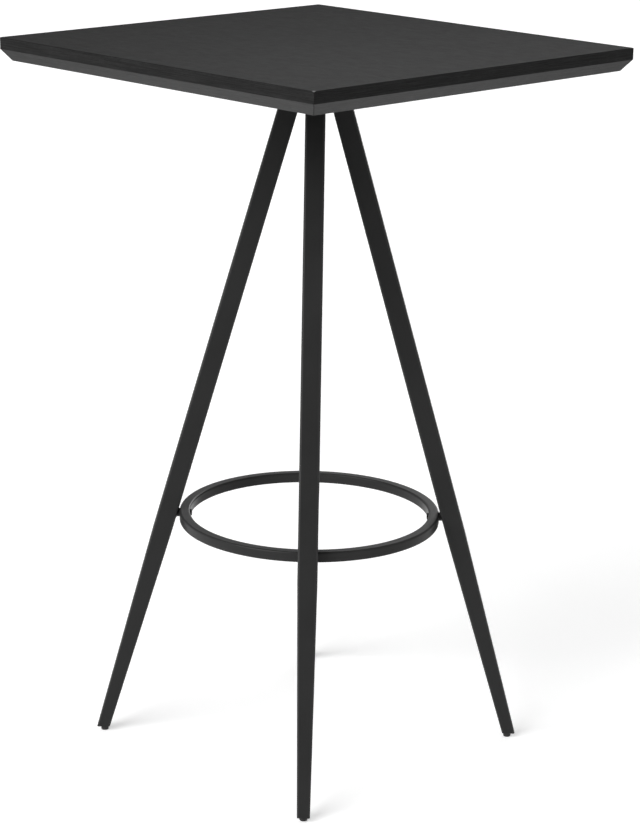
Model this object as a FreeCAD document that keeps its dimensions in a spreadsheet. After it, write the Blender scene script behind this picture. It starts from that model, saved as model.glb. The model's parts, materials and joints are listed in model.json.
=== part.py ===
import FreeCAD, Part
import math
import os
import re
import Sketcher

# Pub table: a square top with an under-bevelled edge on four slanted, tapered legs,
# which a round foot ring ties together. Millimetres, +Z up, origin on the floor
# under the middle of the top. The top's sides lie along X and Y, its front faces -Y,
# and the legs lie on its diagonals.

os.makedirs("parts", exist_ok=True)
doc = FreeCAD.newDocument("pub_table")

# ---------------------------------------------------------------- driving sizes

SIZES = [
    ("table_height", 1016, "floor to the top face"),
    ("top_side", 610, "side of the square top"),
    ("edge_height", 16, "upright band of the edge"),
    ("bevel_height", 16, "height of the bevel under the band"),
    ("bevel_run", 12, "how far the bevel runs in under the top"),
    ("edge_rounding", 0.8, "rounding of the edge's long corners"),
    ("lipping_width", 42, "width of an edge piece, from the outside in"),
    ("veneer_thickness", 0.8, "sheet over the top face"),
    ("veneer_arris", 0.5, "rounding of the top face's border"),
    ("backer_thickness", 0.8, "sheet under the core"),
    ("leg_foot_reach", 300, "leg axis to the table's axis, at the floor"),
    ("leg_top_reach", 21.2, "leg axis to the table's axis, under the top"),
    ("leg_side", 27.5, "leg tube above the taper"),
    ("leg_corner", 3.2, "outer corner radius there"),
    ("leg_end_side", 18, "leg tube at its lower end"),
    ("leg_end_corner", 2.5, "outer corner radius there"),
    ("leg_wall", 1.5, "wall of the leg tube"),
    ("taper_top", 315, "height where the taper begins"),
    ("plate_side", 90, "square plate on a leg"),
    ("plate_thickness", 5, "its thickness"),
    ("plate_corner", 6, "its corner radius"),
    ("plate_gap", 1, "gap between neighbouring plates and legs"),
    ("plate_bolt_inset", 16, "bolt centre to the plate's edge"),
    ("plate_bolt_length", 16, "shank of a plate bolt"),
    ("plate_bolt_head_width", 10.5, "its button head"),
    ("plate_bolt_head_height", 3.3, "height of the head"),
    ("bolt_thread", 6, "thread of every bolt and stud"),
    ("bolt_clearance", 0.3, "hole radius over the bolt's"),
    ("hex_key", 4, "key width of the bolts"),
    ("washer_width", 14, "outer width of a washer"),
    ("washer_thickness", 1.2, "its thickness"),
    ("insert_width", 10, "threaded insert in the core"),
    ("insert_length", 13, "its length"),
    ("insert_hole_extra", 3, "hole depth past the insert"),
    ("thread_clearance", 0.05, "threaded bore radius over the bolt's"),
    ("seat_clearance", 0.05, "radius gap round a pressed or welded piece"),
    ("ring_top", 346.5, "height of the foot ring's upper face"),
    ("ring_standoff", 3.5, "ring to the legs, halfway up the ring"),
    ("ring_side", 15, "square ring tube"),
    ("ring_corner", 2.5, "its outer corner radius"),
    ("ring_wall", 1.2, "its wall"),
    ("bush_width", 12, "bush between the ring and a leg"),
    ("bush_length", 18, "its length"),
    ("ring_bolt_length", 30, "shank of a ring bolt"),
    ("ring_bolt_head_width", 10, "its low head"),
    ("ring_bolt_head_height", 2.4, "height of the head"),
    ("ring_bolt_key_depth", 1.2, "depth of its key recess"),
    ("plate_bolt_key_depth", 2, "depth of a plate bolt's key recess"),
    ("ring_seat_gap", 0.1, "between the ring's round walls and flat seats"),
    ("plug_height", 24, "plug in a leg's lower end"),
    ("plug_clearance", 0.1, "plug to the tube's inner wall"),
    ("stud_hole_depth", 19, "blind threaded hole in the plug"),
    ("stud_length", 16, "stud above the glide's base"),
    ("stud_embed", 5.5, "stud inside the glide's base"),
    ("stud_mould_gap", 0.02, "radius gap of the moulded base"),
    ("glide_width", 11, "round base of a glide"),
    ("glide_height", 7, "its height"),
    ("glide_rounding", 1.5, "rounding of its lower edge"),
    ("glide_seat_gap", 0.3, "base to the leg end, screwed right in"),
    ("glide_inset", 1.5, "glide axis inside the leg end's centre"),
]

sheet = doc.addObject("Spreadsheet::Sheet", "Sizes")
for row, (alias, number, meaning) in enumerate(SIZES, start=1):
    sheet.set(f"A{row}", meaning)
    sheet.set(f"B{row}", str(number))
    sheet.setAlias(f"B{row}", alias)
doc.recompute()
ALIASES = {alias for alias, number, meaning in SIZES}

# ------------------------------------------------- formulas that pieces share

TOP_THICKNESS = "(edge_height + bevel_height)"
UNDERSIDE = f"(table_height - {TOP_THICKNESS})"
CORE_SIDE = "(top_side - 2 * lipping_width)"
CORE_TOP = "(table_height - veneer_thickness)"
LEG_END = "(glide_height + glide_seat_gap)"
PLATE_UNDER = f"({UNDERSIDE} - plate_thickness)"
LEAN = f"((leg_foot_reach - leg_top_reach) / {UNDERSIDE})"
SLANT = f"sqrt(1 + {LEAN} * {LEAN})"
RING_MIDDLE = "(ring_top - ring_side / 2)"
BOLT_RADIUS = "(bolt_thread / 2)"
BOLT_HOLE = f"({BOLT_RADIUS} + bolt_clearance)"
THREAD_BORE = f"({BOLT_RADIUS} + thread_clearance)"
PLATE_NEAR = "(plate_gap / 2 + plate_bolt_inset)"
PLATE_FAR = "(plate_gap / 2 + plate_side - plate_bolt_inset)"

CORNERS = ["front_right", "back_right", "back_left", "front_left"]
FIRST_LEG_ANGLE = -45
QUARTER = 90
TOLERANCE = 0.001


def leg_reach(height):
    """Formula for the distance from the table's axis to a leg's axis at a height."""
    return f"(leg_foot_reach - {LEAN} * {height})"


RING_REACH = f"({leg_reach(RING_MIDDLE)} - leg_side * {SLANT} / 2 - ring_standoff)"
RING_INSIDE = f"({RING_REACH} - ring_side)"
GLIDE_REACH = f"({leg_reach(LEG_END)} - glide_inset)"


def bound(formula):
    """Point the alias words of a formula at the sheet."""
    return re.sub(r"[a-z]\w*", lambda m: "Sizes." + m[0] if m[0] in ALIASES else m[0], formula)


def value(formula):
    return float(sheet.evalExpression(bound(formula)))


# ---------------------------------------------------------- sketches and features

def new_body(label, angle=0):
    """Start a sub-part, turned about the table's axis."""
    body = doc.addObject("PartDesign::Body", label)
    body.Label = label
    body.Placement = FreeCAD.Placement(FreeCAD.Vector(), FreeCAD.Rotation(FreeCAD.Vector(0, 0, 1), angle))
    return body


def origin_feature(body, role):
    return next(item for item in body.Origin.OriginFeatures if item.Role == role)


def new_sketch(body, name, plane, offset=("0", "0", "0")):
    """Attach a sketch to an origin plane, moved by formulas along the plane's own axes."""
    sketch = body.newObject("Sketcher::SketchObject", name)
    sketch.AttachmentSupport = [(origin_feature(body, plane), "")]
    sketch.MapMode = "FlatFace"
    for axis, formula in zip("xyz", offset):
        sketch.setExpression(f".AttachmentOffset.Base.{axis}", bound(formula))
    return sketch


def constrain(sketch, formula, *arguments):
    """Add a dimension whose value follows a formula."""
    index = sketch.addConstraint(Sketcher.Constraint(*arguments, value(formula)))
    sketch.setExpression(f"Constraints[{index}]", bound(formula))


def hold_point(sketch, edge, end, across, up):
    """Hold a point at two formulas, measured from the sketch's origin."""
    for formula, kind, axis in ((across, "DistanceX", -2), (up, "DistanceY", -1)):
        if formula == "0":
            sketch.addConstraint(Sketcher.Constraint("PointOnObject", edge, end, axis))
        else:
            constrain(sketch, formula, kind, -1, 1, edge, end)


def draw_outline(sketch, corners):
    """Draw a closed outline through corners given as pairs of formulas."""
    points = [FreeCAD.Vector(value(across), value(up), 0) for across, up in corners]
    first = sketch.GeometryCount
    count = len(points)
    for index in range(count):
        sketch.addGeometry(Part.LineSegment(points[index], points[(index + 1) % count]))
    for index in range(count):
        follower = first + (index + 1) % count
        sketch.addConstraint(Sketcher.Constraint("Coincident", first + index, 2, follower, 1))
    for index, (across, up) in enumerate(corners):
        hold_point(sketch, first + index, 1, across, up)


def draw_circle(sketch, radius, across="0", up="0"):
    centre = FreeCAD.Vector(value(across), value(up), 0)
    edge = sketch.addGeometry(Part.Circle(centre, FreeCAD.Vector(0, 0, 1), value(radius)))
    hold_point(sketch, edge, 3, across, up)
    constrain(sketch, radius, "Radius", edge)


def draw_rounded_rectangle(sketch, width, depth, radius, across="0", up="0"):
    """Draw a rectangle with four equal round corners about a centre."""
    inner_x = value(width) / 2 - value(radius)
    inner_y = value(depth) / 2 - value(radius)
    signs = [(1, 1), (-1, 1), (-1, -1), (1, -1)]
    arcs = []
    for turn, (side_x, side_y) in enumerate(signs):
        centre = FreeCAD.Vector(value(across) + side_x * inner_x, value(up) + side_y * inner_y, 0)
        circle = Part.Circle(centre, FreeCAD.Vector(0, 0, 1), value(radius))
        start = turn * math.pi / 2
        arcs.append(sketch.addGeometry(Part.ArcOfCircle(circle, start, start + math.pi / 2)))
    lines = []
    for index, arc in enumerate(arcs):
        follower = arcs[(index + 1) % 4]
        start = sketch.getPoint(arc, 2)
        end = sketch.getPoint(follower, 1)
        line = sketch.addGeometry(Part.LineSegment(start, end))
        sketch.addConstraint(Sketcher.Constraint("Tangent", arc, 2, line, 1))
        sketch.addConstraint(Sketcher.Constraint("Tangent", line, 2, follower, 1))
        lines.append(line)
    constrain(sketch, radius, "Radius", arcs[0])
    for arc in arcs[1:]:
        sketch.addConstraint(Sketcher.Constraint("Equal", arcs[0], arc))
    for arc, (side_x, side_y) in zip(arcs, signs):
        sign_x = "+" if side_x > 0 else "-"
        sign_y = "+" if side_y > 0 else "-"
        hold_point(sketch, arc, 3,
                   f"{across} {sign_x} ({width} / 2 - {radius})",
                   f"{up} {sign_y} ({depth} / 2 - {radius})")


def pad(body, sketch, name, length, side="One side"):
    feature = body.newObject("PartDesign::Pad", name)
    feature.Profile = sketch
    feature.SideType = side
    feature.setExpression("Length", bound(length))
    return feature


def pocket(body, sketch, name, length=None, reverse=False, side="One side"):
    """Cut a sketch into the body, through everything if no length is given."""
    feature = body.newObject("PartDesign::Pocket", name)
    feature.Profile = sketch
    feature.SideType = side
    feature.Reversed = reverse
    if length is None:
        feature.Type = "ThroughAll"
    else:
        feature.setExpression("Length", bound(length))
    return feature


def revolve(body, sketch, name, axis):
    feature = body.newObject("PartDesign::Revolution", name)
    feature.Profile = sketch
    feature.ReferenceAxis = (sketch, [axis])
    feature.Angle = 360
    return feature


def loft(body, kind, sketches, name):
    feature = body.newObject(f"PartDesign::{kind}", name)
    feature.Profile = sketches[0]
    feature.Sections = sketches[1:]
    feature.Ruled = True
    return feature


def pattern(body, features, name, copies=4):
    """Repeat features round the table's axis."""
    feature = body.newObject("PartDesign::PolarPattern", name)
    feature.Originals = features
    feature.Axis = (origin_feature(body, "Z_Axis"), [""])
    feature.Angle = 360
    feature.Occurrences = copies
    body.Tip = feature
    return feature


def fillet(body, base, name, radius, wanted):
    """Round the edges of a feature that a test picks out."""
    doc.recompute()
    edges = [f"Edge{number}" for number, edge in enumerate(base.Shape.Edges, start=1) if wanted(edge)]
    feature = body.newObject("PartDesign::Fillet", name)
    feature.Base = (base, edges)
    feature.setExpression("Radius", bound(radius))
    return feature


def at_height(edge, height):
    return all(abs(vertex.Z - value(height)) < TOLERANCE for vertex in edge.Vertexes)


# ------------------------------------------------------------------- table top

def plate_bolt_places():
    """Formula pairs for one plate's bolts, in the quarter where X and Y are positive."""
    return [(PLATE_FAR, PLATE_NEAR), (PLATE_NEAR, PLATE_FAR), (PLATE_FAR, PLATE_FAR)]


def drill_quarters(body, name, radius, height, depth=None):
    """Cut every plate's bolt holes, upward from a height."""
    sketch = new_sketch(body, f"{name}_sketch", "XY_Plane", ("0", "0", height))
    for across, up in plate_bolt_places():
        draw_circle(sketch, radius, across, up)
    holes = pocket(body, sketch, name, depth, reverse=True)
    pattern(body, [holes], f"{name}_pattern")


def make_top_core():
    body = new_body("top_core")
    sketch = new_sketch(body, "core_outline", "XY_Plane", ("0", "0", f"{UNDERSIDE} + backer_thickness"))
    half = f"{CORE_SIDE} / 2"
    draw_outline(sketch, [(f"-{half}", f"-{half}"), (half, f"-{half}"), (half, half), (f"-{half}", half)])
    pad(body, sketch, "core_board", f"{TOP_THICKNESS} - veneer_thickness - backer_thickness")
    drill_quarters(body, "insert_holes", "insert_width / 2 + seat_clearance", UNDERSIDE,
                   "insert_length + insert_hole_extra")
    return body


def make_top_backer():
    body = new_body("top_backer")
    sketch = new_sketch(body, "backer_outline", "XY_Plane", ("0", "0", UNDERSIDE))
    half = f"{CORE_SIDE} / 2"
    draw_outline(sketch, [(f"-{half}", f"-{half}"), (half, f"-{half}"), (half, half), (f"-{half}", half)])
    pad(body, sketch, "backer_sheet", "backer_thickness")
    drill_quarters(body, "backer_holes", "insert_width / 2 + seat_clearance", UNDERSIDE)
    return body


def make_top_veneer():
    body = new_body("top_veneer")
    sketch = new_sketch(body, "veneer_outline", "XY_Plane", ("0", "0", CORE_TOP))
    half = "top_side / 2"
    draw_outline(sketch, [(f"-{half}", f"-{half}"), (half, f"-{half}"), (half, half), (f"-{half}", half)])
    sheet_pad = pad(body, sketch, "veneer_sheet", "veneer_thickness")
    fillet(body, sheet_pad, "veneer_border", "veneer_arris", lambda edge: at_height(edge, "table_height"))
    return body


def make_edge_lipping(label, angle):
    """One edge piece, drawn for the side that faces -Y and then turned to its own side."""
    body = new_body(label, angle)
    outer = "-top_side / 2"
    section = new_sketch(body, "lipping_section", "YZ_Plane")
    draw_outline(section, [
        (outer, CORE_TOP),
        (outer, "table_height - edge_height"),
        (f"{outer} + bevel_run", UNDERSIDE),
        (f"{outer} + lipping_width", UNDERSIDE),
        (f"{outer} + lipping_width", CORE_TOP),
    ])
    bar = pad(body, section, "lipping_bar", "top_side", "Symmetric")

    def long_outer_corner(edge):
        along = edge.BoundBox.XLength > value("top_side") / 2
        outside = edge.BoundBox.YMax < value(f"{outer} + bevel_run") + TOLERANCE
        return along and outside and edge.BoundBox.ZMax < value(CORE_TOP) - TOLERANCE

    fillet(body, bar, "lipping_rounding", "edge_rounding", long_outer_corner)
    mitres = new_sketch(body, "mitre_outline", "XY_Plane", ("0", "0", UNDERSIDE))
    for side in ("", "-"):
        draw_outline(mitres, [
            (f"{side}top_side / 2", outer),
            (f"{side}top_side / 2", f"{outer} + lipping_width"),
            (f"{side}(top_side / 2 - lipping_width)", f"{outer} + lipping_width"),
        ])
    pocket(body, mitres, "mitres", reverse=True)
    return body


# -------------------------------------------------------------------- base frame

def make_leg(label, angle):
    """A square tube along +X of its own frame, turned to its corner of the table."""
    body = new_body(label, angle)
    stations = [
        (LEG_END, "leg_end_side", "leg_end_corner"),
        ("taper_top", "leg_side", "leg_corner"),
        (PLATE_UNDER, "leg_side", "leg_corner"),
    ]
    outer = []
    inner = []
    for number, (height, side, corner) in enumerate(stations):
        place = (leg_reach(height), "0", height)
        sketch = new_sketch(body, f"leg_section_{number}", "XY_Plane", place)
        draw_rounded_rectangle(sketch, f"({side} * {SLANT})", f"({side})", f"({corner})")
        outer.append(sketch)
        sketch = new_sketch(body, f"leg_bore_{number}", "XY_Plane", place)
        draw_rounded_rectangle(sketch, f"(({side} - 2 * leg_wall) * {SLANT})",
                               f"({side} - 2 * leg_wall)", f"({corner} - leg_wall)")
        inner.append(sketch)
    loft(body, "AdditiveLoft", outer, "leg_tube")
    loft(body, "SubtractiveLoft", inner, "leg_hollow")

    # Near the top the inner corners are cut back to the planes between the legs.
    point = "(plate_gap / 2 * sqrt(2))"
    reach = "leg_side"
    trim = new_sketch(body, "mitre_outline", "XY_Plane", ("0", "0", "0"))
    draw_outline(trim, [
        (point, "0"),
        (f"{point} + {reach}", reach),
        (f"-{reach}", reach),
        (f"-{reach}", f"-{reach}"),
        (f"{point} + {reach}", f"-{reach}"),
    ])
    pocket(body, trim, "leg_mitres", reverse=True)

    bore = new_sketch(body, "bush_hole_outline", "YZ_Plane")
    draw_circle(bore, "bush_width / 2 + seat_clearance", "0", RING_MIDDLE)
    pocket(body, bore, "bush_hole", leg_reach(RING_MIDDLE), reverse=True)
    return body


def make_leg_plate(label, angle):
    """The plate fills the corner between +X and +Y of its own frame."""
    body = new_body(label, angle)
    sketch = new_sketch(body, "plate_outline", "XY_Plane", ("0", "0", PLATE_UNDER))
    middle = "(plate_gap / 2 + plate_side / 2)"
    draw_rounded_rectangle(sketch, "plate_side", "plate_side", "plate_corner", middle, middle)
    for across, up in plate_bolt_places():
        draw_circle(sketch, BOLT_HOLE, across, up)
    pad(body, sketch, "plate_board", "plate_thickness")
    return body


def draw_hexagon(sketch, key_width, across="0", up="0"):
    """A regular hexagon with two flats square to the sketch's first axis."""
    flat = f"{key_width} / 2"
    tip = f"{key_width} / sqrt(3)"
    side = f"{key_width} / sqrt(12)"
    offsets = [(flat, side), ("0", tip), (f"-{flat}", side), (f"-{flat}", f"-{side}"), ("0", f"-{tip}"),
               (flat, f"-{side}")]
    draw_outline(sketch, [
        (x if across == "0" else f"{across} + ({x})", y if up == "0" else f"{up} + ({y})")
        for x, y in offsets
    ])


def make_plate_bolts():
    body = new_body("plate_bolts")
    seat = f"({PLATE_UNDER} - washer_thickness)"
    features = []
    for number, (across, up) in enumerate(plate_bolt_places()):
        # The XZ plane faces -Y, so a sketch moved along its normal goes to -Y.
        profile = new_sketch(body, f"bolt_profile_{number}", "XZ_Plane", (across, seat, f"-{up}"))
        draw_outline(profile, [
            ("0", "-plate_bolt_head_height"),
            ("plate_bolt_head_width / 2 - plate_bolt_head_height / 2", "-plate_bolt_head_height"),
            ("plate_bolt_head_width / 2", "-plate_bolt_head_height / 3"),
            ("plate_bolt_head_width / 2", "0"),
            (BOLT_RADIUS, "0"),
            (BOLT_RADIUS, "plate_bolt_length"),
            ("0", "plate_bolt_length"),
        ])
        features.append(revolve(body, profile, f"bolt_{number}", "V_Axis"))
        recess = new_sketch(body, f"key_outline_{number}", "XY_Plane",
                            (across, up, f"{seat} - plate_bolt_head_height"))
        draw_hexagon(recess, "hex_key")
        features.append(pocket(body, recess, f"key_recess_{number}", "plate_bolt_key_depth", reverse=True))
    pattern(body, features, "bolts_of_all_plates")
    return body


def make_rings_under_plates(label, bottom, height, outer, bore):
    """Round pieces with a bore, one at every plate bolt."""
    body = new_body(label)
    sketch = new_sketch(body, "ring_outlines", "XY_Plane", ("0", "0", bottom))
    for across, up in plate_bolt_places():
        draw_circle(sketch, outer, across, up)
        draw_circle(sketch, bore, across, up)
    pieces = pad(body, sketch, "ring_pieces", height)
    pattern(body, [pieces], "pieces_of_all_plates")
    return body


def make_foot_ring():
    body = new_body("foot_ring", FIRST_LEG_ANGLE)
    section = new_sketch(body, "ring_section", "XZ_Plane")
    middle = f"({RING_REACH} - ring_side / 2)"
    draw_rounded_rectangle(section, "ring_side", "ring_side", "ring_corner", middle, RING_MIDDLE)
    inner_side = "(ring_side - 2 * ring_wall)"
    draw_rounded_rectangle(section, inner_side, inner_side, "(ring_corner - ring_wall)", middle, RING_MIDDLE)
    revolve(body, section, "ring_tube", "V_Axis")
    hole = new_sketch(body, "ring_hole_outline", "YZ_Plane")
    draw_circle(hole, BOLT_HOLE, "0", RING_MIDDLE)
    holes = pocket(body, hole, "ring_hole", f"{RING_REACH} + ring_side", reverse=True)
    pattern(body, [holes], "ring_holes")
    return body


def make_ring_bushes():
    body = new_body("ring_bushes", FIRST_LEG_ANGLE)
    sketch = new_sketch(body, "bush_outline", "YZ_Plane", ("0", "0", f"{RING_REACH} + ring_seat_gap"))
    draw_circle(sketch, "bush_width / 2", "0", RING_MIDDLE)
    draw_circle(sketch, THREAD_BORE, "0", RING_MIDDLE)
    bush = pad(body, sketch, "bush", "bush_length")
    pattern(body, [bush], "bushes_of_all_legs")
    return body


def make_ring_bolts():
    body = new_body("ring_bolts", FIRST_LEG_ANGLE)
    seat = f"({RING_INSIDE} - ring_seat_gap)"
    profile = new_sketch(body, "ring_bolt_profile", "XZ_Plane", ("0", RING_MIDDLE, "0"))
    draw_outline(profile, [
        (f"{seat} - ring_bolt_head_height", "0"),
        (f"{seat} - ring_bolt_head_height", "ring_bolt_head_width / 2 - ring_bolt_head_height / 2"),
        (f"{seat} - ring_bolt_head_height / 2", "ring_bolt_head_width / 2"),
        (seat, "ring_bolt_head_width / 2"),
        (seat, BOLT_RADIUS),
        (f"{seat} + ring_bolt_length", BOLT_RADIUS),
        (f"{seat} + ring_bolt_length", "0"),
    ])
    bolt = revolve(body, profile, "ring_bolt", "H_Axis")
    recess = new_sketch(body, "ring_key_outline", "YZ_Plane",
                        ("0", RING_MIDDLE, f"{seat} - ring_bolt_head_height"))
    draw_hexagon(recess, "hex_key")
    key = pocket(body, recess, "ring_key_recess", "ring_bolt_key_depth", reverse=True)
    pattern(body, [bolt, key], "bolts_of_all_legs")
    return body


# ------------------------------------------------------------------ leg ends

def bore_side_at(height):
    """Formula for the tube's inner width at a height on the taper."""
    grown = f"(leg_side - leg_end_side) * ({height} - {LEG_END}) / (taper_top - {LEG_END})"
    return f"(leg_end_side + {grown} - 2 * leg_wall)"


def make_leg_plug(label, angle):
    body = new_body(label, angle)
    sections = []
    for number, height in enumerate((LEG_END, f"({LEG_END} + plug_height)")):
        sketch = new_sketch(body, f"plug_section_{number}", "XY_Plane", (leg_reach(height), "0", height))
        side = f"({bore_side_at(height)} - 2 * plug_clearance)"
        draw_rounded_rectangle(sketch, f"({side} * {SLANT})", side, "(leg_end_corner - leg_wall)")
        sections.append(sketch)
    loft(body, "AdditiveLoft", sections, "plug_block")
    hole = new_sketch(body, "stud_hole_outline", "XY_Plane", (GLIDE_REACH, "0", LEG_END))
    draw_circle(hole, THREAD_BORE)
    pocket(body, hole, "stud_hole", "stud_hole_depth", reverse=True)
    return body


def make_glide_base(label, angle):
    body = new_body(label, angle)
    profile = new_sketch(body, "base_profile", "XZ_Plane", (GLIDE_REACH, "0", "0"))
    bore = f"{BOLT_RADIUS} + stud_mould_gap"
    draw_outline(profile, [
        ("0", "0"),
        ("glide_width / 2", "0"),
        ("glide_width / 2", "glide_height"),
        (bore, "glide_height"),
        (bore, "glide_height - stud_embed"),
        ("0", "glide_height - stud_embed"),
    ])
    base = revolve(body, profile, "base_disc", "V_Axis")
    fillet(body, base, "base_rounding", "glide_rounding", lambda edge: at_height(edge, "0"))
    return body


def make_glide_stud(label, angle):
    body = new_body(label, angle)
    sketch = new_sketch(body, "stud_outline", "XY_Plane", (GLIDE_REACH, "0", "glide_height - stud_embed"))
    draw_circle(sketch, BOLT_RADIUS)
    pad(body, sketch, "stud_rod", "stud_embed + stud_length")
    return body


# ------------------------------------------------------------------ the table

pieces = [make_top_core(), make_top_veneer(), make_top_backer()]
for turn, side in enumerate(("front", "right", "back", "left")):
    pieces.append(make_edge_lipping(f"edge_lipping_{side}", turn * QUARTER))
for turn, corner in enumerate(CORNERS):
    leg_angle = FIRST_LEG_ANGLE + turn * QUARTER
    pieces.append(make_leg(f"leg_{corner}", leg_angle))
    pieces.append(make_leg_plate(f"leg_plate_{corner}", leg_angle + FIRST_LEG_ANGLE))
    pieces.append(make_leg_plug(f"leg_plug_{corner}", leg_angle))
    pieces.append(make_glide_base(f"glide_base_{corner}", leg_angle))
    pieces.append(make_glide_stud(f"glide_stud_{corner}", leg_angle))
pieces.append(make_plate_bolts())
pieces.append(make_rings_under_plates("plate_washers", f"{PLATE_UNDER} - washer_thickness", "washer_thickness",
                                      "washer_width / 2", BOLT_HOLE))
pieces.append(make_rings_under_plates("threaded_inserts", UNDERSIDE, "insert_length", "insert_width / 2",
                                      THREAD_BORE))
pieces.append(make_foot_ring())
pieces.append(make_ring_bushes())
pieces.append(make_ring_bolts())
doc.recompute()

for item in doc.Objects:
    if "Invalid" in item.State or "Error" in item.State:
        raise RuntimeError(f"{item.Label} failed: {item.State}")
for piece in pieces:
    if piece.Shape.isNull() or not piece.Shape.isValid():
        raise RuntimeError(f"{piece.Label} has no valid shape")
for piece in pieces:
    piece.Shape.exportStep(f"parts/{piece.Label}.step")
    box = piece.Shape.BoundBox
    print(f"{piece.Label}: {len(piece.Shape.Solids)} solids, {piece.Shape.Volume:.1f} mm3, "
          f"z {box.ZMin:.2f} to {box.ZMax:.2f}")
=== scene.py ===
import json
import math

import bmesh
import bpy
from mathutils import Matrix, Vector


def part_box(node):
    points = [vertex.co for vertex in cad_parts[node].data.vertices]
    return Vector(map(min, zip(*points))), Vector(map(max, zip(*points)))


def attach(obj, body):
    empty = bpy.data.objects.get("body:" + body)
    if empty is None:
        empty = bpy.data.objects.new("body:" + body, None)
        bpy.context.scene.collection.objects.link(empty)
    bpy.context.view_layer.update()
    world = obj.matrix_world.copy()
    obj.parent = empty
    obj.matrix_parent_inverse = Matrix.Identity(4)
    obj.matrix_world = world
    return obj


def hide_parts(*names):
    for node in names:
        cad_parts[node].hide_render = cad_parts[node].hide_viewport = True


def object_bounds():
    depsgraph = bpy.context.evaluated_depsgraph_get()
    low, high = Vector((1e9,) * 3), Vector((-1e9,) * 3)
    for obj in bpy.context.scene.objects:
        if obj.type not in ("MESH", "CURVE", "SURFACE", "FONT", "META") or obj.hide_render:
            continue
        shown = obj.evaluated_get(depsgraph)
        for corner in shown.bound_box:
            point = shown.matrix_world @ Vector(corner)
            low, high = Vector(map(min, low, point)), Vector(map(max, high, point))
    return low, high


# Pub table: the finish of every surface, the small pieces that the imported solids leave
# plain, and a plain studio. Metres, +Z up, origin on the floor under the top's middle.

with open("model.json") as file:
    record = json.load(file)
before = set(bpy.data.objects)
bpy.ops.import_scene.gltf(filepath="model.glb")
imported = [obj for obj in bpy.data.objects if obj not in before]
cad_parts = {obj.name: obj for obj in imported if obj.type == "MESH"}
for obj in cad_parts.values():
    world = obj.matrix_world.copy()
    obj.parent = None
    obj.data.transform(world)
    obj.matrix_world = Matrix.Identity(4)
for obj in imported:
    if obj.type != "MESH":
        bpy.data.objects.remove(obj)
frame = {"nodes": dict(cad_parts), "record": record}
solid_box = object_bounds()

CORNERS = {"front_right": -45, "back_right": 45, "back_left": 135, "front_left": -135}
LEGS = [f"leg_{corner}" for corner in CORNERS]

# Driving sizes of the solids that the small pieces sit on.
LEG_SIDE = 0.0275
LEG_CORNER = 0.0032
LEG_FOOT_REACH = 0.300
LEG_TOP_REACH = 0.0212
PLATE_GAP = 0.001
RING_CORNER = 0.0025
RING_WALL = 0.0012
BOLT_HOLE_WIDTH = 0.0066
BUSH_WIDTH = 0.012


# ------------------------------------------------------------------------------- camera

CAMERA_AZIMUTH = math.radians(45.3)
CAMERA_ELEVATION = math.radians(15.96)
CAMERA_DISTANCE = 3.504
AIM_AZIMUTH = math.radians(45.08)
AIM_DROP = math.radians(16.24)
CAMERA_ROLL = math.radians(0.96)
SENSOR = 36.0
LENS = 107.55
CAMERA_REACH = 200.0


def direction(azimuth, elevation):
    """Unit vector from the table towards an azimuth, 0 for its front and pi / 2 for its right."""
    return Vector((math.sin(azimuth) * math.cos(elevation),
                   -math.cos(azimuth) * math.cos(elevation),
                   math.sin(elevation)))


def make_camera():
    """The photograph's camera, fitted to the top's corners, the feet and the ring."""
    middle = Vector((0, 0, solid_box[1].z / 2))
    place = middle + CAMERA_DISTANCE * direction(CAMERA_AZIMUTH, CAMERA_ELEVATION)
    back = direction(AIM_AZIMUTH, AIM_DROP)
    right = Vector((math.cos(AIM_AZIMUTH), math.sin(AIM_AZIMUTH), 0))
    up = back.cross(right)
    tilted_right = math.cos(CAMERA_ROLL) * right + math.sin(CAMERA_ROLL) * up
    tilted_up = math.cos(CAMERA_ROLL) * up - math.sin(CAMERA_ROLL) * right
    camera = bpy.data.objects.new("camera", bpy.data.cameras.new("camera"))
    bpy.context.scene.collection.objects.link(camera)
    turn = Matrix((tilted_right, tilted_up, back)).transposed().to_4x4()
    camera.matrix_world = Matrix.Translation(place) @ turn
    camera.data.sensor_width = SENSOR
    camera.data.lens = LENS
    camera.data.clip_end = CAMERA_REACH
    bpy.context.scene.camera = camera


make_camera()


# ------------------------------------------------------------------------- shader nodes

# The Mix node has several sockets called A, B and Result. These numbers are the colours' ones.
FIRST_COLOUR = 6
SECOND_COLOUR = 7
MIXED_COLOUR = 2

# Spans that hold most of a noise's values.
NARROW_SPAN = (0.35, 0.65)
WIDE_SPAN = (0.3, 0.7)


def add(tree, kind, inputs=None, **settings):
    """Add a shader node. Inputs are sockets to link or plain values, by name or number."""
    node = tree.nodes.new("ShaderNode" + kind)
    for name, setting in settings.items():
        setattr(node, name, setting)
    for name, given in (inputs or {}).items():
        if isinstance(given, bpy.types.NodeSocket):
            tree.links.new(given, node.inputs[name])
        else:
            node.inputs[name].default_value = given
    return node


def tint(red, green, blue):
    return (red, green, blue, 1)


def grey(level):
    return tint(level, level, level)


def new_material(name, metallic=0.0, specular=0.5):
    """A material with one Principled shader. Returns the material, its tree and the shader."""
    material = bpy.data.materials.new(name)
    material.use_nodes = True
    tree = material.node_tree
    shader = tree.nodes["Principled BSDF"]
    shader.inputs["Metallic"].default_value = metallic
    shader.inputs["Specular IOR Level"].default_value = specular
    return material, tree, shader


def feed(tree, shader, **sockets):
    """Link outputs to the shader's inputs, named with an underscore for each space."""
    for name, output in sockets.items():
        tree.links.new(output, shader.inputs[name.replace("_", " ")])


def calculate(tree, operation, *values):
    return add(tree, "Math", dict(enumerate(values)), operation=operation).outputs[0]


def object_place(tree, scale=(1, 1, 1)):
    """The point on the object in metres, stretched by a scale along each axis."""
    place = add(tree, "TexCoord").outputs["Object"]
    return add(tree, "Mapping", {"Vector": place, "Scale": scale}).outputs["Vector"]


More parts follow.
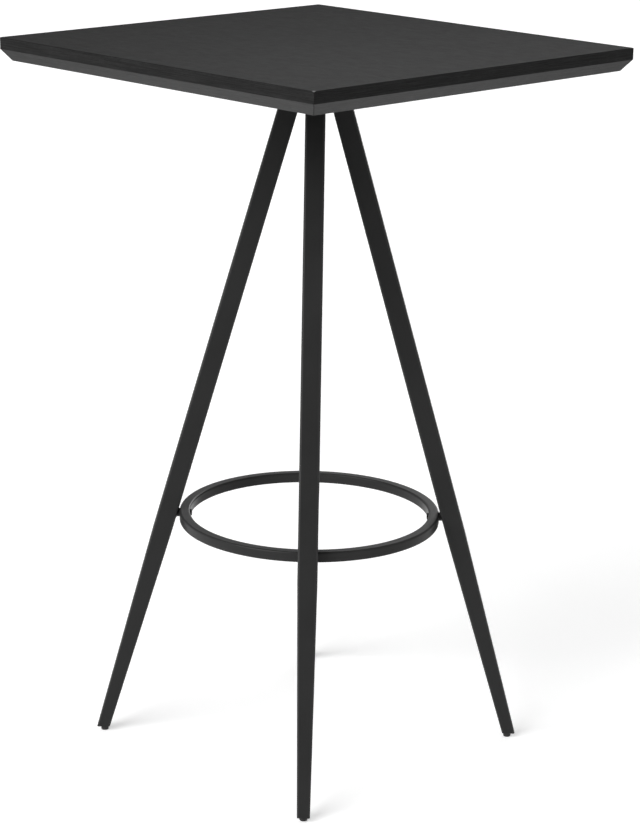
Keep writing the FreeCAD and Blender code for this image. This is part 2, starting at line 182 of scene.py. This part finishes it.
def object_normal(tree):
    """The outputs X, Y and Z of the direction that the surface faces."""
    normal = add(tree, "TexCoord").outputs["Normal"]
    return add(tree, "SeparateXYZ", {"Vector": normal}).outputs


def noise(tree, place, scale, detail, roughness=0.5, distortion=0.0):
    return add(tree, "TexNoise", {"Vector": place, "Scale": scale, "Detail": detail,
                                  "Roughness": roughness, "Distortion": distortion}).outputs["Fac"]


def spread(tree, value, low, high, new_low=0.0, new_high=1.0, kind="LINEAR"):
    """A value that runs from new_low to new_high while the given one runs from low to high."""
    return add(tree, "MapRange", {"Value": value, "From Min": low, "From Max": high,
                                  "To Min": new_low, "To Max": new_high},
               interpolation_type=kind).outputs["Result"]


def fade(tree, value, low, high, new_low=0.0, new_high=1.0):
    """As spread, with a soft start and end."""
    return spread(tree, value, low, high, new_low, new_high, "SMOOTHSTEP")


def uneven(tree, pattern, middle, less, more):
    """A value that follows a pattern from middle - less to middle + more."""
    return spread(tree, pattern, *WIDE_SPAN, middle - less, middle + more)


def mix_colours(tree, share, first, second):
    """The first colour where share is 0, the second where it is 1."""
    node = add(tree, "Mix", {"Factor": share, FIRST_COLOUR: first, SECOND_COLOUR: second},
               data_type="RGBA")
    return node.outputs[MIXED_COLOUR]


def two_tones(tree, pattern, dark, light):
    """A colour that follows a pattern from a dark one to a light one."""
    return mix_colours(tree, spread(tree, pattern, *NARROW_SPAN), dark, light)


def bump(tree, height, strength, distance, normal=None):
    inputs = {"Height": height, "Strength": strength, "Distance": distance}
    if normal is not None:
        inputs["Normal"] = normal
    return add(tree, "Bump", inputs).outputs["Normal"]


# ----------------------------------------------------------- places with their own look

# Z of a unit normal, where a face counts as looking down fully and not at all.
DOWN_FULL = -0.45
DOWN_NONE = -0.2
# Difference of X and Y of a unit normal, where a leg's rounding starts and is full.
ROUNDING_START = 0.15
ROUNDING_FULL = 0.5
JOINT_HALF_WIDTH = 0.0008
# Width of the painted highlight at the top's corner tips, and how fast it narrows below the top.
TIP_HIGHLIGHT_WIDTH = 0.005
TIP_DEPTH_WEIGHT = 3


def facing_down(tree):
    """1 on faces that look down at a slant, 0 on upright and upper ones."""
    return spread(tree, object_normal(tree)["Z"], DOWN_FULL, DOWN_NONE, 1.0, 0.0)


def from_middle(tree):
    """Distances from the top's middle along X and along Y."""
    place = add(tree, "SeparateXYZ", {"Vector": object_place(tree)})
    return [calculate(tree, "ABSOLUTE", place.outputs[axis]) for axis in "XY"]


def mitre_joint(tree):
    """1 on the fine line where two edge pieces meet at the top's corners, 0 away from it."""
    off_line = calculate(tree, "ABSOLUTE", calculate(tree, "SUBTRACT", *from_middle(tree)))
    return spread(tree, off_line, JOINT_HALF_WIDTH / 2, JOINT_HALF_WIDTH, 1.0, 0.0)


def tip_highlight(tree):
    """1 at the very tips of the top's four upper corners, where a pale spot is painted as the
    highlight that the tips catch.
    """
    height = add(tree, "SeparateXYZ", {"Vector": object_place(tree)}).outputs["Z"]
    below = calculate(tree, "SUBTRACT", solid_box[1].z, height)
    out = calculate(tree, "ADD", *from_middle(tree))
    reach = calculate(tree, "SUBTRACT", out, calculate(tree, "MULTIPLY", below, TIP_DEPTH_WEIGHT))
    tip = 2 * solid_box[1].x
    return spread(tree, reach, tip - TIP_HIGHLIGHT_WIDTH, tip - TIP_HIGHLIGHT_WIDTH / 2)


def leg_rounding(tree):
    """1 on the roundings between a leg's four flat sides, which face along the diagonals."""
    normal = object_normal(tree)
    sizes = [calculate(tree, "ABSOLUTE", normal[axis]) for axis in "XY"]
    off_diagonal = calculate(tree, "ABSOLUTE", calculate(tree, "SUBTRACT", *sizes))
    return spread(tree, off_diagonal, ROUNDING_START, ROUNDING_FULL)


# ---------------------------------------------------------------------------- materials

# Length along the grain and width across it, of each kind of mark in the wood.
FIBRE = (0.050, 0.0011)
MOTTLE = (0.020, 0.012)
PORE = (0.009, 0.00035)
# Tones as shares of the wood's own shade.
MOTTLE_TONE = 0.8
PORE_TONE = 0.5
JOINT_TONE = 0.1
# Grey of the painted highlight at the top's corner tips.
TIP_HIGHLIGHT_TONE = 0.15
LACQUER = 0.28
LACQUER_ROUGHNESS = 0.22


def black_wood(name, along, shade, streaks, roughness, specular, edge=False):
    """Black stained wood whose straight grain runs along axis 0 (X) or 1 (Y).

    Streaks is how much the fibres differ in tone. Edge wood has the lines of the mitres and
    a gloss coat, both on its slanted lower faces.
    """
    material, tree, shader = new_material(name, specular=specular)

    def grain(length, width, **settings):
        scale = [1 / width] * 3
        scale[along] = 1 / length
        return noise(tree, object_place(tree, scale), 1, **settings)

    fibres = grain(*FIBRE, detail=4, roughness=0.6)
    mottle = grain(*MOTTLE, detail=4, roughness=0.6, distortion=0.5)
    pores = spread(tree, grain(*PORE, detail=1), low=0.62, high=0.70)
    colour = two_tones(tree, fibres, grey(shade * (1 - streaks)), grey(shade * (1 + streaks)))
    clouded = spread(tree, mottle, low=0.35, high=0.70, new_high=0.4)
    colour = mix_colours(tree, clouded, colour, grey(shade * MOTTLE_TONE))
    colour = mix_colours(tree, pores, colour, grey(shade * PORE_TONE))
    if edge:
        slanted = facing_down(tree)
        line = calculate(tree, "MULTIPLY", mitre_joint(tree), slanted)
        colour = mix_colours(tree, line, colour, grey(shade * JOINT_TONE))
        coated = calculate(tree, "SUBTRACT", slanted, line)
        shader.inputs["Coat Roughness"].default_value = LACQUER_ROUGHNESS
        feed(tree, shader, Coat_Weight=calculate(tree, "MULTIPLY", coated, LACQUER))
    # Painted highlight at the top's corner tips.
    colour = mix_colours(tree, tip_highlight(tree), colour, grey(TIP_HIGHLIGHT_TONE))
    relief = bump(tree, fibres, strength=0.25, distance=0.00006)
    relief = bump(tree, pores, strength=-0.5, distance=0.00005, normal=relief)
    gloss = uneven(tree, mottle, roughness, less=0.03, more=0.04)
    feed(tree, shader, Base_Color=colour, Roughness=gloss, Normal=relief)
    return material


def powder_coat(name, shade, roughness, specular, rounding_highlight=0.0):
    """Black powder coat: a fine orange peel with a faint uneven sheen.

    Rounding highlight is how much paler the coat is painted on a leg's roundings: a painted highlight
    for the light that the rounded corners catch.
    """
    material, tree, shader = new_material(name, specular=specular)
    place = object_place(tree)
    peel = noise(tree, place, scale=750, detail=2)
    fine = noise(tree, place, scale=3200, detail=1)
    cloud = noise(tree, place, scale=14, detail=3)
    colour = two_tones(tree, cloud, dark=grey(shade * 0.94), light=grey(shade * 1.06))
    specks = spread(tree, fine, low=0.62, high=0.75, new_high=0.35)
    colour = mix_colours(tree, specks, colour, grey(shade * 1.5))
    # Painted highlight on a leg's roundings, paler than the rest of the coat.
    if rounding_highlight:
        colour = mix_colours(tree, leg_rounding(tree), colour, grey(shade * (1 + rounding_highlight)))
    relief = bump(tree, peel, strength=0.6, distance=0.0001)
    relief = bump(tree, fine, strength=0.3, distance=0.00003, normal=relief)
    gloss = uneven(tree, cloud, roughness, less=0.03, more=0.03)
    feed(tree, shader, Base_Color=colour, Roughness=gloss, Normal=relief)
    return material


def turned_metal(name, shade, roughness, tone=(1.0, 1.0, 1.0)):
    """Plated or oxidised steel with fine marks and a slightly uneven sheen."""
    material, tree, shader = new_material(name, metallic=1.0)
    place = object_place(tree)
    marks = noise(tree, place, scale=1500, detail=3, roughness=0.65)
    cloud = noise(tree, place, scale=160, detail=2)
    dark = tint(*(shade * 0.8 * share for share in tone))
    light = tint(*(shade * share for share in tone))
    colour = two_tones(tree, cloud, dark, light)
    gloss = uneven(tree, marks, roughness, less=0.07, more=0.09)
    relief = bump(tree, marks, strength=0.2, distance=0.00001)
    feed(tree, shader, Base_Color=colour, Roughness=gloss, Normal=relief)
    return material


def moulded_plastic(name, shade, roughness, specular):
    """Black moulded nylon with a fine matt skin."""
    material, tree, shader = new_material(name, specular=specular)
    place = object_place(tree)
    texture = noise(tree, place, scale=2400, detail=2)
    flow = noise(tree, place, scale=120, detail=2)
    colour = two_tones(tree, flow, dark=grey(shade * 0.9), light=grey(shade * 1.12))
    gloss = uneven(tree, texture, roughness, less=0.05, more=0.05)
    relief = bump(tree, texture, strength=0.3, distance=0.00002)
    feed(tree, shader, Base_Color=colour, Roughness=gloss, Normal=relief)
    return material


def balancing_paper(name, shade, roughness, specular):
    """The black balancing sheet under the top: matt, with a faint pressed web."""
    material, tree, shader = new_material(name, specular=specular)
    place = object_place(tree)
    web = noise(tree, place, scale=700, detail=4, roughness=0.7)
    cloud = noise(tree, place, scale=9, detail=3)
    colour = mix_colours(tree, spread(tree, cloud, *WIDE_SPAN), grey(shade * 0.88), grey(shade * 1.12))
    gloss = uneven(tree, web, roughness, less=0.05, more=0.05)
    relief = bump(tree, web, strength=0.3, distance=0.00003)
    feed(tree, shader, Base_Color=colour, Roughness=gloss, Normal=relief)
    return material


def fibreboard(name, roughness, specular):
    """Raw board of the core: brown, with short pressed fibres."""
    material, tree, shader = new_material(name, specular=specular)
    fibres = noise(tree, object_place(tree), scale=1100, detail=4, roughness=0.75)
    colour = two_tones(tree, fibres, dark=tint(0.30, 0.21, 0.13), light=tint(0.46, 0.35, 0.24))
    gloss = uneven(tree, fibres, roughness, less=0.05, more=0.05)
    relief = bump(tree, fibres, strength=0.4, distance=0.0001)
    feed(tree, shader, Base_Color=colour, Roughness=gloss, Normal=relief)
    return material


EDGE = {"shade": 0.021, "streaks": 0.36, "roughness": 0.45, "specular": 0.05, "edge": True}
COAT = {"roughness": 0.34, "specular": 0.12}
FINISHES = {
    "black_veneer": black_wood("black_veneer", 0, shade=0.017, streaks=0.12, roughness=0.75,
                               specular=0.04),
    "black_edge_x": black_wood("black_edge_x", 0, **EDGE),
    "black_edge_y": black_wood("black_edge_y", 1, **EDGE),
    "core_board": fibreboard("core_board", roughness=0.9, specular=0.2),
    "black_backer": balancing_paper("black_backer", shade=0.022, roughness=0.6, specular=0.25),
    "black_powder_coat": powder_coat("black_powder_coat", shade=0.0225, **COAT),
    "leg_powder_coat": powder_coat("leg_powder_coat", shade=0.0225, rounding_highlight=0.9, **COAT),
    # The ring's coat is the legs' powder coat painted paler: painted light on the ring.
    "ring_coat_painted_paler": powder_coat("ring_coat_painted_paler", shade=0.028, **COAT),
    "black_screw": turned_metal("black_screw", shade=0.012, roughness=0.5),
    "zinc_steel": turned_metal("zinc_steel", shade=0.62, roughness=0.32, tone=(0.97, 0.99, 1.0)),
    "black_nylon": moulded_plastic("black_nylon", shade=0.022, roughness=0.55, specular=0.3),
}


def finish_of(node, slot):
    """The slot's finish, but the legs have a coat with painted highlights on their roundings, and each
    edge piece a grain of their own.
    """
    if node in LEGS:
        return FINISHES["leg_powder_coat"]
    if slot != "black_edge":
        return FINISHES[slot]
    side = node.rsplit("_", 1)[1]
    return FINISHES["black_edge_x" if side in ("front", "back") else "black_edge_y"]


def dress(piece, material):
    piece.data.materials.clear()
    piece.data.materials.append(material)


for entry in frame["record"]["subparts"]:
    dress(frame["nodes"][entry["node"]], finish_of(entry["node"], entry["material_slot"]))


# ------------------------------------------------------------------------- small pieces

SHARP = math.radians(40)
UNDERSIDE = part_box("top_backer")[0].z
PLATE_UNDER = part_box("leg_plate_front_right")[0].z
RING_LOW, RING_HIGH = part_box("foot_ring")
RING_SIDE = RING_HIGH.z - RING_LOW.z
RING_MIDDLE = (RING_LOW.z + RING_HIGH.z) / 2
LEAN = (LEG_FOOT_REACH - LEG_TOP_REACH) / UNDERSIDE
HALF_ACROSS = LEG_SIDE / 2
HALF_OUT = HALF_ACROSS * math.hypot(1, LEAN)


def leg_reach(height):
    """Distance from the table's axis to a leg's axis at a height."""
    return LEG_FOOT_REACH - LEAN * height


def on_diagonal(angle, out, across, height):
    """The point at a distance out along a leg's diagonal and a distance across it."""
    turn = math.radians(angle)
    return Vector((out * math.cos(turn) - across * math.sin(turn),
                   out * math.sin(turn) + across * math.cos(turn), height))


def skin(rings, closed):
    """Points and faces of a tube through equal rings of points, with end caps if it is open."""
    count = len(rings[0])
    faces = []
    for row in range(len(rings) if closed else len(rings) - 1):
        here = row * count
        there = (row + 1) % len(rings) * count
        for column in range(count):
            beside = (column + 1) % count
            faces.append((here + column, here + beside, there + beside, there + column))
    if not closed:
        faces.append(tuple(range(count)))
        faces.append(tuple(range((len(rings) - 1) * count, len(rings) * count)))
    return [point for ring in rings for point in ring], faces


def make_shape(name, points, faces):
    """A plain object whose points are already in place, with its faces turned outwards."""
    mesh = bpy.data.meshes.new(name)
    mesh.from_pydata(points, [], faces)
    shape = bmesh.new()
    shape.from_mesh(mesh)
    bmesh.ops.recalc_face_normals(shape, faces=shape.faces)
    shape.to_mesh(mesh)
    shape.free()
    piece = bpy.data.objects.new(name, mesh)
    bpy.context.scene.collection.objects.link(piece)
    return piece


def cut_away(piece, cutters):
    """Take the cutters' shapes out of a piece, and remove them."""
    for cutter in cutters:
        cut = piece.modifiers.new(cutter.name, "BOOLEAN")
        cut.object = cutter
        cut.operation = "DIFFERENCE"
        cut.solver = "EXACT"
    shaped = piece.evaluated_get(bpy.context.evaluated_depsgraph_get())
    mesh = bpy.data.meshes.new_from_object(shaped)
    piece.modifiers.clear()
    piece.data = mesh
    for cutter in cutters:
        bpy.data.objects.remove(cutter)


def make_piece(name, points, faces, slot, body, cutters=()):
    """A mesh piece, less its cutters, dressed and riding on a body."""
    piece = make_shape(name, points, faces)
    if cutters:
        cut_away(piece, cutters)
    mesh = piece.data
    mesh.polygons.foreach_set("use_smooth", [True] * len(mesh.polygons))
    mesh.set_sharp_from_angle(angle=SHARP)
    dress(piece, FINISHES[slot])
    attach(piece, body)
    return piece


# Weld beads

LEG_BEAD = 0.0031
BUSH_BEAD = 0.0013
BEAD_SUNK = 0.0003
BEAD_STEP = 0.0004
BEAD_ARC_STEPS = 6
BEAD_HOLLOW = 0.16
RIPPLE = 0.07
RIPPLE_PITCH = 0.0016
SLOW_SWELL = 0.06
SLOW_LENGTH = 0.0061
QUICK_SWELL = 0.04
QUICK_LENGTH = 0.0023


def bead_section(size):
    """A fillet weld's section: (out from the wall, off the other face), sunk into both."""
    curve = []
    for step in range(BEAD_ARC_STEPS + 1):
        angle = math.radians(90 * step / BEAD_ARC_STEPS)
        bulge = size * (1 - BEAD_HOLLOW * math.sin(2 * angle))
        curve.append((bulge * math.cos(angle), bulge * math.sin(angle)))
    return curve + [(-BEAD_SUNK, size), (-BEAD_SUNK, -BEAD_SUNK), (size, -BEAD_SUNK)]


def rippled(size, along, phase):
    """A bead's size at a distance along it: fine ripples on a slow uneven swell."""
    ripple = RIPPLE * math.cos(2 * math.pi * along / RIPPLE_PITCH)
    slow = SLOW_SWELL * math.sin(along / SLOW_LENGTH + phase)
    quick = QUICK_SWELL * math.sin(along / QUICK_LENGTH + 2 * phase)
    return size * (1 + ripple + slow + quick)


def leg_bead_point(stretch, share, out, down):
    """(out, across) of a point of the bead round a leg's upper end, on one stretch of its path."""
    face = leg_reach(PLATE_UNDER - down) + HALF_OUT
    start = HALF_ACROSS + out + PLATE_GAP / math.sqrt(2)
    if stretch in ("near side", "far side"):
        side = 1 if stretch == "near side" else -1
        run = share if stretch == "near side" else 1 - share
        return start + run * (face - LEG_CORNER - start), side * (HALF_ACROSS + out)
    if stretch == "face":
        return face + out, (1 - 2 * share) * (HALF_ACROSS - LEG_CORNER)
    side = 1 if stretch == "first corner" else -1
    angle = math.radians(90 * (1 - share) if side == 1 else 90 * share)
    return (face - LEG_CORNER + (LEG_CORNER + out) * math.cos(angle),
            side * (HALF_ACROSS - LEG_CORNER + (LEG_CORNER + out) * math.sin(angle)))


def make_leg_weld(corner, angle):
    """The weld that runs round the outer three sides of a leg, under its plate."""
    side_run = leg_reach(PLATE_UNDER) + HALF_OUT - LEG_CORNER - HALF_ACROSS
    stretches = (("near side", side_run), ("first corner", math.pi / 2 * LEG_CORNER),
                 ("face", LEG_SIDE - 2 * LEG_CORNER),
                 ("second corner", math.pi / 2 * LEG_CORNER), ("far side", side_run))
    rings = []
    along = 0.0
    for stretch, length in stretches:
        count = round(length / BEAD_STEP)
        # Each stretch ends where the next one starts, and the last one has an end of its own.
        last = 1 if stretch == "far side" else 0
        for index in range(count + last):
            share = index / count
            section = bead_section(rippled(LEG_BEAD, along + share * length, math.radians(angle)))
            ring = []
            for out, down in section:
                place = leg_bead_point(stretch, share, out, down)
                ring.append(on_diagonal(angle, *place, PLATE_UNDER - down))
            rings.append(ring)
        along += length
    make_piece(f"leg_weld_{corner}", *skin(rings, False), "black_powder_coat", "table")


def make_bush_weld(corner, angle):
    """The small weld round a ring bush, on the inner face of its leg."""
    count = round(math.pi * BUSH_WIDTH / BEAD_STEP)
    rings = []
    for index in range(count):
        turn = 2 * math.pi * index / count
        along = math.pi * BUSH_WIDTH * index / count
        ring = []
        for out, inward in bead_section(rippled(BUSH_BEAD, along, math.radians(angle))):
            radius = BUSH_WIDTH / 2 + out
            height = RING_MIDDLE + radius * math.sin(turn)
            reach = leg_reach(height) - HALF_OUT - inward
            ring.append(on_diagonal(angle, reach, radius * math.cos(turn), height))
        rings.append(ring)
    make_piece(f"bush_weld_{corner}", *skin(rings, True), "black_powder_coat", "table")


# Foot ring

RING_SEGMENTS = 240
RING_CORNER_STEPS = 6
FLAT_MARGIN = 0.0002
HOLE_SIDES = 32


def ring_skin(side, rounding):
    """Points and faces of a ring whose section is a rounded square.

    Each flat has a row of points close to the rounding, so that it shades as flat.
    """
    inset = side / 2 - rounding
    section = []
    for quarter in range(4):
        corner = [Vector((rounding, -FLAT_MARGIN))]
        for step in range(RING_CORNER_STEPS + 1):
            angle = math.pi / 2 * step / RING_CORNER_STEPS
            corner.append(rounding * Vector((math.cos(angle), math.sin(angle))))
        corner.append(Vector((-FLAT_MARGIN, rounding)))
        turn = Matrix.Rotation(math.pi / 2 * quarter, 2)
        section.extend(turn @ (Vector((inset, inset)) + point) for point in corner)
    middle = RING_HIGH.x - RING_SIDE / 2
    rings = []
    for index in range(RING_SEGMENTS):
        angle = 360 * index / RING_SEGMENTS
        rings.append([on_diagonal(angle, middle + out, 0, RING_MIDDLE + up) for out, up in section])
    return skin(rings, True)


def bolt_hole(angle):
    """The space of a bolt hole through the ring towards a leg."""
    radius = BOLT_HOLE_WIDTH / 2
    rings = []
    for reach in (RING_HIGH.x - 2 * RING_SIDE, RING_HIGH.x + RING_SIDE):
        ring = []
        for side in range(HOLE_SIDES):
            turn = 2 * math.pi * side / HOLE_SIDES
            height = RING_MIDDLE + radius * math.sin(turn)
            ring.append(on_diagonal(angle, reach, radius * math.cos(turn), height))
        rings.append(ring)
    return make_shape("bolt_hole", *skin(rings, False))


def make_foot_ring():
    """The foot ring's tube with an even skin, in place of the solid, and a coat painted paler as
    painted light on the ring.
    """
    inside = ring_skin(RING_SIDE - 2 * RING_WALL, RING_CORNER - RING_WALL)
    cutters = [make_shape("tube_inside", *inside)]
    cutters.extend(bolt_hole(angle) for angle in CORNERS.values())
    piece = make_piece("foot_ring_tube", *ring_skin(RING_SIDE, RING_CORNER), "black_powder_coat",
                       "table", cutters)
    # The paler coat is painted light, not a different finish.
    dress(piece, FINISHES["ring_coat_painted_paler"])
    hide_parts("foot_ring")


# Screw threads of the glides

THREAD_PITCH = 0.001
THREAD_DEPTH = 0.00061
THREAD_SIDES = 28
THREAD_STEPS = 10
# Widths as shares of the pitch.
CREST_FLAT = 0.125
ROOT_FLAT = 0.25


def thread_radius(outer, share):
    """Radius of a 60 degree screw thread at a share of its pitch, 0 in the middle of a crest."""
    from_crest = min(share, 1 - share) * 2
    slope = (from_crest - CREST_FLAT) / (1 - CREST_FLAT - ROOT_FLAT)
    return outer - THREAD_DEPTH * min(max(slope, 0), 1)


def make_glide_thread(corner):
    """The real thread of a glide's stud, in place of the plain stud."""
    stud = f"glide_stud_{corner}"
    low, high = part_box(stud)
    middle = (low + high) / 2
    outer = (high.x - low.x) / 2
    rows = round((high.z - low.z) / THREAD_PITCH * THREAD_STEPS)
    rings = []
    for row in range(rows + 1):
        height = low.z + (high.z - low.z) * row / rows
        lead_in = outer - THREAD_DEPTH + (high.z - height)
        ring = []
        for side in range(THREAD_SIDES):
            turn = side / THREAD_SIDES
            share = ((height - low.z) / THREAD_PITCH - turn) % 1
            radius = min(thread_radius(outer, share), lead_in)
            ring.append(Vector((middle.x + radius * math.cos(2 * math.pi * turn),
                                middle.y + radius * math.sin(2 * math.pi * turn), height)))
        rings.append(ring)
    piece = make_piece(f"glide_thread_{corner}", *skin(rings, False), "zinc_steel", f"glide_{corner}")
    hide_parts(stud)


make_foot_ring()
for corner, angle in CORNERS.items():
    make_leg_weld(corner, angle)
    make_bush_weld(corner, angle)
    make_glide_thread(corner)


# ------------------------------------------------------------------------------- studio

AMBIENT = 0.24
BACKDROP_LOW = 0.64
BACKDROP_TOP = 0.38
BACKDROP_RISE = math.radians(35)
FLOOR_RADIUS = 60.0
FLOOR_SIDES = 64
FLOOR_PALE = 0.8
FLOOR_GLOW = 0.47
FLOOR_FADE_FROM = 10.0
FLOOR_FADE_TO = 50.0
POOL_RADIUS = 0.8
POOL_EDGE = 2.0
POOL_INSIDE = 1.5
POOL_OUTSIDE = 0.15


def seen_directly(tree, in_gloss=1.0):
    """How far rays show the background: 1 from the camera and through glass, and a share in gloss."""
    path = add(tree, "LightPath")
    gloss = calculate(tree, "MULTIPLY", path.outputs["Is Glossy Ray"], in_gloss)
    either = calculate(tree, "MAXIMUM", path.outputs["Is Camera Ray"], gloss)
    return calculate(tree, "MAXIMUM", either, path.outputs["Is Transmission Ray"])


def make_world():
    """A dim even light, and a backdrop of its own for the camera and for gloss."""
    world = bpy.data.worlds.new("studio")
    bpy.context.scene.world = world
    world.use_nodes = True
    tree = world.node_tree
    tree.nodes.clear()
    towards = add(tree, "TexCoord").outputs["Generated"]
    height = add(tree, "SeparateXYZ", {"Vector": towards}).outputs["Z"]
    level = fade(tree, height, 0.0, math.sin(BACKDROP_RISE), BACKDROP_LOW, BACKDROP_TOP)
    dim = add(tree, "Background", {"Color": grey(1), "Strength": AMBIENT})
    backdrop = add(tree, "Background", {"Color": grey(1), "Strength": level})
    seen = seen_directly(tree)
    shown = add(tree, "MixShader", {0: seen, 1: dim.outputs[0], 2: backdrop.outputs[0]})
    add(tree, "OutputWorld", {"Surface": shown.outputs[0]})


def make_floor():
    """A pale floor with a pool of light round the table, clear from below and far away."""
    mesh = bpy.data.meshes.new("floor")
    shape = bmesh.new()
    bmesh.ops.create_circle(shape, cap_ends=True, radius=FLOOR_RADIUS, segments=FLOOR_SIDES)
    shape.to_mesh(mesh)
    shape.free()
    floor = bpy.data.objects.new("floor", mesh)
    bpy.context.scene.collection.objects.link(floor)
    material = bpy.data.materials.new("floor")
    material.use_nodes = True
    tree = material.node_tree
    tree.nodes.clear()
    pale = add(tree, "BsdfDiffuse", {"Color": grey(FLOOR_PALE)})
    place = add(tree, "TexCoord").outputs["Object"]
    away = add(tree, "VectorMath", {0: place}, operation="LENGTH").outputs["Value"]
    pool = fade(tree, away, POOL_RADIUS, POOL_EDGE, POOL_INSIDE, POOL_OUTSIDE)
    strength = calculate(tree, "MULTIPLY", seen_directly(tree, pool), FLOOR_GLOW)
    glow = add(tree, "Emission", {"Color": grey(1), "Strength": strength})
    both = add(tree, "AddShader", {0: pale.outputs[0], 1: glow.outputs[0]})
    clear = add(tree, "BsdfTransparent")
    far = fade(tree, away, FLOOR_FADE_FROM, FLOOR_FADE_TO)
    unseen = calculate(tree, "MAXIMUM", add(tree, "NewGeometry").outputs["Backfacing"], far)
    shown = add(tree, "MixShader", {0: unseen, 1: both.outputs[0], 2: clear.outputs[0]})
    add(tree, "OutputMaterial", {"Surface": shown.outputs[0]})
    dress(floor, material)


def make_soft_sun(name, azimuth, elevation, strength, width):
    """A large soft lamp a long way off. Its place in the sky and its width are in degrees."""
    lamp = bpy.data.lights.new(name, "SUN")
    lamp.energy = strength
    lamp.angle = math.radians(width)
    holder = bpy.data.objects.new(name, lamp)
    bpy.context.scene.collection.objects.link(holder)
    towards = direction(math.radians(azimuth), math.radians(elevation))
    holder.rotation_mode = "QUATERNION"
    holder.rotation_quaternion = towards.to_track_quat("Z", "Y")


def make_soft_box(name, place, aim, side, power):
    """A square lamp near the table, aimed at a point."""
    lamp = bpy.data.lights.new(name, "AREA")
    lamp.energy = power
    lamp.size = side
    holder = bpy.data.objects.new(name, lamp)
    bpy.context.scene.collection.objects.link(holder)
    holder.location = place
    holder.rotation_mode = "QUATERNION"
    holder.rotation_quaternion = (place - aim).to_track_quat("Z", "Y")


bpy.context.scene.view_settings.view_transform = "Standard"
make_world()
make_floor()
make_soft_sun("key", azimuth=-2, elevation=33, strength=2.85, width=46)
make_soft_sun("rim", azimuth=205, elevation=20, strength=0.65, width=28)
make_soft_box("overhead", place=Vector((0.27, -0.18, 1.66)), aim=Vector((0.27, -0.18, 1.0)),
              side=0.40, power=5.8)
